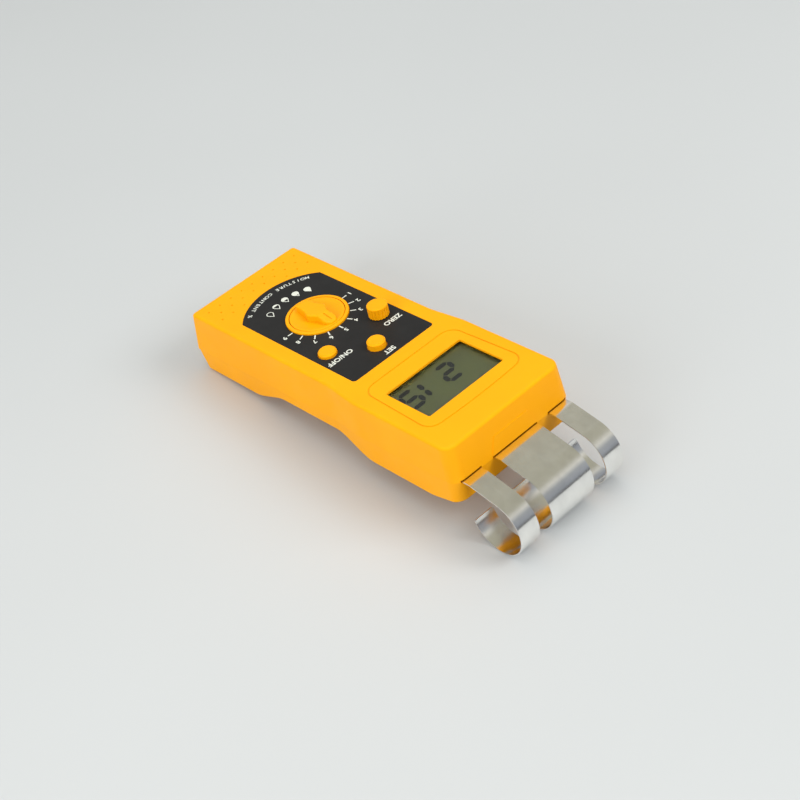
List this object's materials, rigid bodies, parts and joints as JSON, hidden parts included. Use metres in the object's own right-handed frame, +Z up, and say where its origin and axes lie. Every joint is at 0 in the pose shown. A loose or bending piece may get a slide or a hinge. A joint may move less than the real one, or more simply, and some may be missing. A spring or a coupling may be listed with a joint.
{
  "type": "grain moisture meter",
  "caption": "Handheld moisture meter: yellow case with range dial, zero knob, buttons and display, and curled spring-steel electrodes at the nose.",
  "frame": {"origin": "on the table under the middle of the meter as it lies on its heel and its electrode curls", "axes": "+Z up from the table, +X towards the nose and electrodes, +Y to the left of a user who holds the handle"},
  "size_m": [0.1852, 0.0616, 0.0412],
  "materials": {
    "case": "satin moulded plastic",
    "label": "matt printed film",
    "clear_window": "clear polished",
    "display": "liquid crystal display",
    "black_plastic": "moulded",
    "rubber_strip": "layered rubber",
    "board": "solder mask",
    "steel": "plated",
    "plain_plastic": "moulded",
    "blue_plastic": "moulded",
    "battery_jacket": "printed jacket",
    "lead_sleeve": "sleeve",
    "spring_steel": "polished spring steel",
    "insulator": "phenolic board",
    "brass": "plain"
  },
  "bodies": {
    "meter": {"front_case": "case", "rear_case": "case", "front_label": "label", "display_window": "clear_window", "display_glass": "display", "display_frame": "black_plastic", "contact_strips": "rubber_strip", "main_board": "board", "board_screws": "steel", "board_chips": "black_plastic", "rotary_housing": "black_plastic", "zero_pot": "blue_plastic", "power_switch": "black_plastic", "mode_switch": "black_plastic", "battery": "battery_jacket", "battery_snap": "black_plastic", "battery_leads": "lead_sleeve", "electrode_tangs": "spring_steel", "electrode_base": "insulator", "electrode_clamp": "insulator", "clamp_screws": "steel", "contact_pins": "brass", "case_screws": "steel"},
    "battery_door": {"battery_door": "case"},
    "dial": {"dial_knob": "case", "rotary_shaft": "plain_plastic", "rotary_rotor": "black_plastic"},
    "zero": {"zero_knob": "case", "zero_shaft": "plain_plastic"},
    "power": {"power_button": "case", "power_plunger": "plain_plastic"},
    "mode": {"mode_button": "case", "mode_plunger": "plain_plastic"},
    "electrode_left": {"electrode_left": "spring_steel"},
    "electrode_centre": {"electrode_centre": "spring_steel"},
    "electrode_right": {"electrode_right": "spring_steel"}
  },
  "joints": [
    {"name": "battery_door_slide", "type": "slide", "parent": "meter", "child": "battery_door", "axis": [-0.9968, 0, -0.0802], "range_m": [0, 0.034]},
    {"name": "dial_turn", "type": "hinge", "parent": "meter", "child": "dial", "pos_m": [-0.04209, 0, 0.03285], "axis": [-0.0802, 0, 0.9968], "range_deg": [-90, 90]},
    {"name": "zero_turn", "type": "hinge", "parent": "meter", "child": "zero", "pos_m": [-0.01996, 0.0139, 0.03463], "axis": [-0.0802, 0, 0.9968], "range_deg": [-140, 140]},
    {"name": "power_press", "type": "slide", "parent": "meter", "child": "power", "axis": [0.0802, 0, -0.9968], "range_m": [-0.0013, 0.0004]},
    {"name": "mode_press", "type": "slide", "parent": "meter", "child": "mode", "axis": [0.0802, 0, -0.9968], "range_m": [0, 0.0017]},
    {"name": "electrode_left_flex", "type": "hinge", "parent": "meter", "child": "electrode_left", "pos_m": [0.05951, 0.02278, 0.02568], "axis": [0, -1, 0], "range_deg": [0, 3.5], "stiffness_Nm_per_rad": 1.3},
    {"name": "electrode_centre_flex", "type": "hinge", "parent": "meter", "child": "electrode_centre", "pos_m": [0.05951, 0, 0.02568], "axis": [0, -1, 0], "range_deg": [0, 3.5], "stiffness_Nm_per_rad": 3},
    {"name": "electrode_right_flex", "type": "hinge", "parent": "meter", "child": "electrode_right", "pos_m": [0.05951, -0.02278, 0.02568], "axis": [0, -1, 0], "range_deg": [0, 3.5], "stiffness_Nm_per_rad": 1.3}
  ]
}
